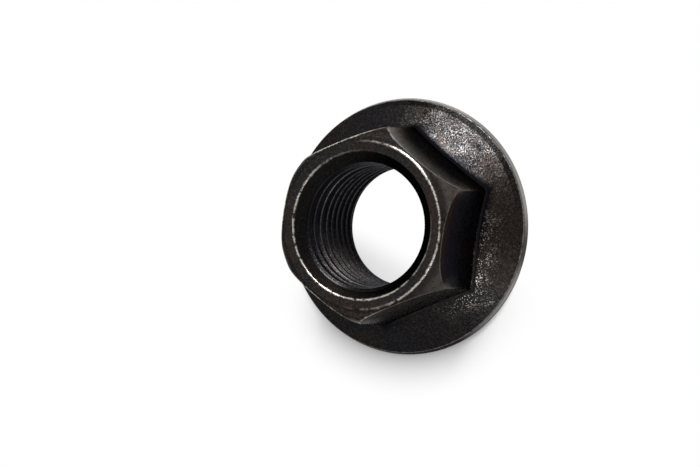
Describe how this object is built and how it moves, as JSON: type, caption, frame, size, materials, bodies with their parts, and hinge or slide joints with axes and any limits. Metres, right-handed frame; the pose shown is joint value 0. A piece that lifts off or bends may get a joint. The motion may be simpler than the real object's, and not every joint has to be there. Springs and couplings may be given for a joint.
{
  "type": "serrated flange nut",
  "caption": "Hexagon nut with a built-in conical flange, a rounded crown, a threaded through bore and radial ratchet serrations under the flange.",
  "frame": {"origin": "on the thread axis, in the plane of the bearing face that the nut stands on", "axes": "+Z along the thread axis towards the hexagon's free end; +Y square to one hexagon flat, +X towards a corner"},
  "size_m": [0.0314, 0.0314, 0.015],
  "materials": {
    "blackened_steel": "black oxide, worn bright on the edges"
  },
  "bodies": {
    "root": {"flange_nut": "blackened_steel"}
  },
  "joints": []
}
